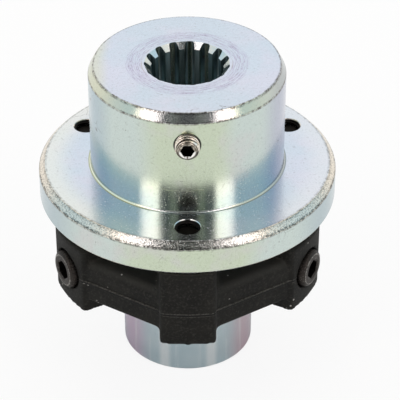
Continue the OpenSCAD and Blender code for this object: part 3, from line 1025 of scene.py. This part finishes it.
def blank(rows, name):
    """Joins rings from the tip to the bottom of the socket into one closed shape."""
    bm = bmesh.new()
    rings = [ring(bm, *row) for row in rows[1:-1]]
    join_rings(bm, rings)
    for centre_row, end in ((rows[0], rings[0]), (rows[-1], rings[-1])):
        centre = bm.verts.new((0, 0, centre_row[1] * MM))
        for i in range(AROUND):
            bm.faces.new((centre, end[i], end[(i + 1) % AROUND]))
    bmesh.ops.recalc_face_normals(bm, faces=bm.faces)
    mesh = bpy.data.meshes.new(name)
    bm.to_mesh(mesh)
    bm.free()
    return mesh


def shank_rows(radius, low, high, step):
    count = round((high - low) / step)
    return [(radius, low + (high - low) * i / count) for i in range(count + 1)]


def socket_rows(flat_to_flat, top, mouth):
    """A hexagon socket: a round mouth, the hexagon's walls and the drill's cone below."""
    inner = flat_to_flat / 2
    corner = inner / math.cos(math.pi / 6)
    bottom = top - SOCKET_DEPTH
    return [(corner + mouth, top), (corner, top - mouth * 0.6), (inner, top - mouth, 6),
            (inner, bottom, 6), (0, bottom - 0.8)]


def give_faces(mesh, index, chosen):
    """Gives one of the mesh's materials to the faces whose radius and height are chosen."""
    for polygon in mesh.polygons:
        x, y, z = polygon.center / MM
        if chosen(math.hypot(x, y), z):
            polygon.material_index = index


# %% Two kinds of screws
HEAD_HEIGHT = 8.0
HEAD_SOCKET = 6.0
SET_SOCKET = 4.0
OIL_AND_SHADE, EDGE = 1, 2


# Gives the socket's walls the near-black finish of oil and painted shade.
def socket_oil_and_shade(mesh, flat_to_flat, top):
    reach = flat_to_flat / 2 / math.cos(math.pi / 6)
    give_faces(mesh, OIL_AND_SHADE, lambda radius, z: radius < reach and top - 6 < z < top - 0.5)
    return mesh


def head_screw(length):
    """M8 socket head screw of this length, from its tip at 0 up to its head."""
    top = length + HEAD_HEIGHT
    rows = [(0, 0), (3.1, 0.0)]
    rows += shank_rows(SCREW_R, 0.8, length - 0.3, 0.2)
    rows += [(SCREW_R, length), (5.9, length), (6.3, length + 0.15), (HEAD_R, length + 0.4)]
    rows += shank_rows(HEAD_R, length + 0.8, top - 1.7, 0.5)
    rows += [(6.45, top - 1.1), (6.25, top - 0.7), (5.9, top - 0.36), (5.5, top - 0.14),
             (5.1, top - 0.03), (4.8, top)]
    rows += socket_rows(HEAD_SOCKET, top, 0.3)
    mesh = blank(rows, "head_screw")
    mesh = worked(mesh, cut_thread, screw_black, Depth=0.62 * MM, Low=-1 * MM,
                  High=(length - 1.5) * MM)
    mesh = worked(mesh, roll_knurl, screw_black, Low=(length + 0.5) * MM,
                  High=(top + 0.1) * MM)
    give_faces(mesh, EDGE, lambda radius, z: 5.0 < radius < 5.6 and z > top - 0.2)
    return socket_oil_and_shade(smooth_mesh(mesh, 30), HEAD_SOCKET, top)


def set_screw(length, finish, turn):
    """M8 set screw with a rounded tip at 0 and a socket at its other end."""
    rows = [(0, 0.8), (1.6, 0.1), (2.0, 0.0)]
    rows += shank_rows(SCREW_R, 1.0, length - 1.0, 0.15)
    rows += [(3.5, length - 0.5), (3.0, length - 0.08), (2.9, length)]
    rows += socket_rows(SET_SOCKET, length, 0.12)
    mesh = blank(rows, "set_screw")
    mesh = worked(mesh, cut_thread, finish, Low=-1 * MM, High=(length + 1) * MM, Turn=turn)
    return socket_oil_and_shade(smooth_mesh(mesh, 30), SET_SOCKET, length)


# %% Screws in their places
AXIAL_LENGTH = 30.0
RADIAL_LENGTH = 25.0
OIL_AND_SHADE_TIP = 3.0
RADIAL_TIP = 15.5 * MM
FIRST_RADIAL = -30
HUB_SET_LENGTH = 20
KEY_SET_LENGTH = 8
KEY_SET_TIP = 16.3 * MM


def laid(mesh, name, tip, direction, turn=0.0):
    """A copy of a screw with its tip at a point and its head towards a direction."""
    mesh = mesh.copy()
    mesh.name = name
    aim = Vector(direction).to_track_quat("Z", "X").to_matrix().to_4x4()
    mesh.transform(Matrix.Translation(Vector(tip)) @ aim @ Matrix.Rotation(turn, 4, "Z"))
    return mesh


def place_head_screws():
    long_screw = head_screw(AXIAL_LENGTH)
    # Oil and painted shade: the tip of the long screw lies down in the flange's hole.
    give_faces(long_screw, OIL_AND_SHADE, lambda radius, z: z < OIL_AND_SHADE_TIP)
    short_screw = head_screw(RADIAL_LENGTH)
    finishes = [screw_black, oil_and_shade, screw_edge]
    for number in (1, 2, 3):
        node = f"axial_screw_{number}"
        centre = middle_of(node)
        tip = (centre.x, centre.y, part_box(node)[1].z)
        mesh = laid(long_screw, node + "_threaded", tip, (0, 0, -1), number)
        show(mesh, finishes, [node])
        node = f"radial_screw_{number}"
        angle = math.radians(FIRST_RADIAL + 120 * (number - 1))
        outwards = Vector((math.cos(angle), math.sin(angle), 0))
        tip = outwards * RADIAL_TIP + Vector((0, 0, PARTING_Z))
        mesh = laid(short_screw, node + "_threaded", tip, outwards, number * 1.3)
        show(mesh, finishes, [node])
    print("head screw faces:", len(long_screw.polygons), len(short_screw.polygons))


def place_set_screws():
    tip = (0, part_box("hub_set_screw")[1].y, middle_of("hub_set_screw").z)
    front = set_screw(HUB_SET_LENGTH, screw_bright, 0.0)
    front = laid(front, "hub_set_screw_threaded", tip, (0, -1, 0))
    show(front, [screw_bright, oil_and_shade], ["hub_set_screw"])
    centre = middle_of("shaft_set_screw")
    outwards = Vector((centre.x, centre.y, 0)).normalized()
    tip = outwards * KEY_SET_TIP + Vector((0, 0, centre.z))
    back = set_screw(KEY_SET_LENGTH, screw_black, 0.3)
    back = laid(back, "shaft_set_screw_threaded", tip, outwards)
    show(back, [screw_black, oil_and_shade], ["shaft_set_screw"])
    print("set screw faces:", len(front.polygons), len(back.polygons))


place_head_screws()
place_set_screws()

# %% [markdown]
# ## Threads in the flange
#
# The flange's three holes take the axial screws, so they are threaded too. Above each screw's
# tip the thread of the hole can be seen. It is the same groove, cut into a thin sleeve that
# lies against the hole's wall. The sleeve is painted near black, as oil and as the shade down
# in the hole.

# %% Thread in each flange hole
SLEEVE_OUTER = 3.99
SLEEVE_INNER = 3.97


def thread_sleeve(bottom, top):
    """A thin closed sleeve between two heights, with a thread cut into it."""
    bm = bmesh.new()
    rows = [(SLEEVE_OUTER, top), (SLEEVE_OUTER, bottom)]
    rows += shank_rows(SLEEVE_INNER, bottom, top, 0.15)
    rings = [ring(bm, *row) for row in rows]
    join_rings(bm, rings + rings[:1])
    bmesh.ops.recalc_face_normals(bm, faces=bm.faces)
    mesh = bpy.data.meshes.new("sleeve")
    bm.to_mesh(mesh)
    bm.free()
    return worked(mesh, cut_thread, oil_and_shade, Outer_radius=3.98 * MM, Depth=0.5 * MM,
                  Low=bottom * MM, High=(top + 0.3) * MM)


def hole_threads():
    bm = bmesh.new()
    for number in (1, 2, 3):
        node = f"axial_screw_{number}"
        centre = middle_of(node)
        mesh = thread_sleeve(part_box(node)[1].z / MM + 0.15, FLANGE_TOP_Z / MM - 0.42)
        mesh.transform(Matrix.Translation((centre.x, centre.y, 0)))
        bm.from_mesh(mesh)
    whole = bpy.data.meshes.new("flange_threads")
    bm.to_mesh(whole)
    bm.free()
    show(smooth_mesh(whole, 30), [oil_and_shade], [])
    print("thread faces:", len(whole.polygons))


hole_threads()

# %% [markdown]
# ## The raised parting line
#
# Where the two halves of the mould met, a low band of rubber runs along the outside of each bar.
# It follows a straight path, so a tree sweeps a small rounded square along it. The paths come
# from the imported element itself: it is cut at the height of the parting plane, and of that
# outline the long lines far from the axis are the outer faces of the bars.

# %% A band along each bar
BAND = 1.0 * MM
BAND_OUT = 0.45 * MM
SHORTEST_LINE = 6 * MM
OUTER_FACE = 30 * MM


def band_tree():
    """Sweeps a rounded square along each line of a mesh."""
    sizes = {"Width": BAND, "Rounding": 0.25 * MM}
    group, s, given = new_shape_tree("parting_band", sizes)
    path = s.node("GeometryNodeMeshToCurve", 0, {"Mesh": given["Mesh"]})
    square = s.node("GeometryNodeCurvePrimitiveQuadrilateral", 0,
                    {"Width": given["Width"], "Height": given["Width"]})
    soft = s.node("GeometryNodeFilletCurve", 0, {"Curve": square, "Radius": given["Rounding"],
                                                 "Count": 3}, mode="POLY")
    band = s.node("GeometryNodeCurveToMesh", 0, {"Curve": path, "Profile Curve": soft,
                                                 "Fill Caps": True})
    finish_shape(s, given, band)
    return group


def bar_lines():
    """The lines in which the parting plane meets the outer faces of the bars."""
    bm = bmesh.new()
    bm.from_mesh(joined_mesh("rubber_element", "cut_rubber"))
    everything = bm.verts[:] + bm.edges[:] + bm.faces[:]
    cut = bmesh.ops.bisect_plane(bm, geom=everything, plane_co=(0, 0, PARTING_Z),
                                 plane_no=(0, 0, 1))["geom_cut"]
    lines = []
    for edge in cut:
        if isinstance(edge, bmesh.types.BMEdge) and edge.calc_length() > SHORTEST_LINE:
            start, end = (vert.co.copy() for vert in edge.verts)
            along = (end - start).normalized()
            outwards = Vector((along.y, -along.x, 0))
            reach = outwards.dot(start)
            if abs(reach) > OUTER_FACE:
                inset = outwards * math.copysign(BAND / 2 - BAND_OUT, reach)
                lines.append((start - along * MM - inset, end + along * MM - inset))
    bm.free()
    return lines


def parting_bands():
    lines = bar_lines()
    paths = bpy.data.meshes.new("band_paths")
    points = [point for line in lines for point in line]
    paths.from_pydata(points, [(i, i + 1) for i in range(0, len(points), 2)], [])
    mesh = worked(paths, band_tree(), rubber)
    mesh.name = "parting_bands"
    bm = bmesh.new()
    bm.from_mesh(mesh)
    bmesh.ops.remove_doubles(bm, verts=bm.verts, dist=0.001 * MM)
    bmesh.ops.recalc_face_normals(bm, faces=bm.faces)
    bm.to_mesh(mesh)
    bm.free()
    show(smooth_mesh(mesh, 40), [rubber], [])
    print("parting bands:", len(lines))


parting_bands()

# %% [markdown]
# ## Inserts
#
# The inserts are plain turned aluminium, and only their ends show: under the flange, and down
# in the recesses round the screws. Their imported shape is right, so they keep it, and get a
# material with a fine grain and darker specks.

# %% Turned aluminium
def turned_aluminium():
    material, s = new_material("turned_aluminium")
    where = on_object(s)
    fine = s.noise(where, 1200.0, 3.0, 0.6)
    cloud = s.noise(where, 150.0, 3.0, 0.6)
    tint = s.mix(cloud.rise(0.35, 0.7), (0.62, 0.62, 0.63), (0.74, 0.74, 0.74))
    tint = s.mix(fine.rise(0.62, 0.72) * 0.5, tint, (0.30, 0.30, 0.31))
    shader = principled(s, Base_Color=tint, Metallic=1.0, Roughness=0.30 + fine * 0.15,
                        Normal=s.bump(fine, 0.01 * MM))
    return finished(material, shader)


aluminium = turned_aluminium()
inserts = [name for name in nodes if "insert" in name]
for name in inserts:
    dress(nodes[name], aluminium)
print("inserts:", len(inserts))
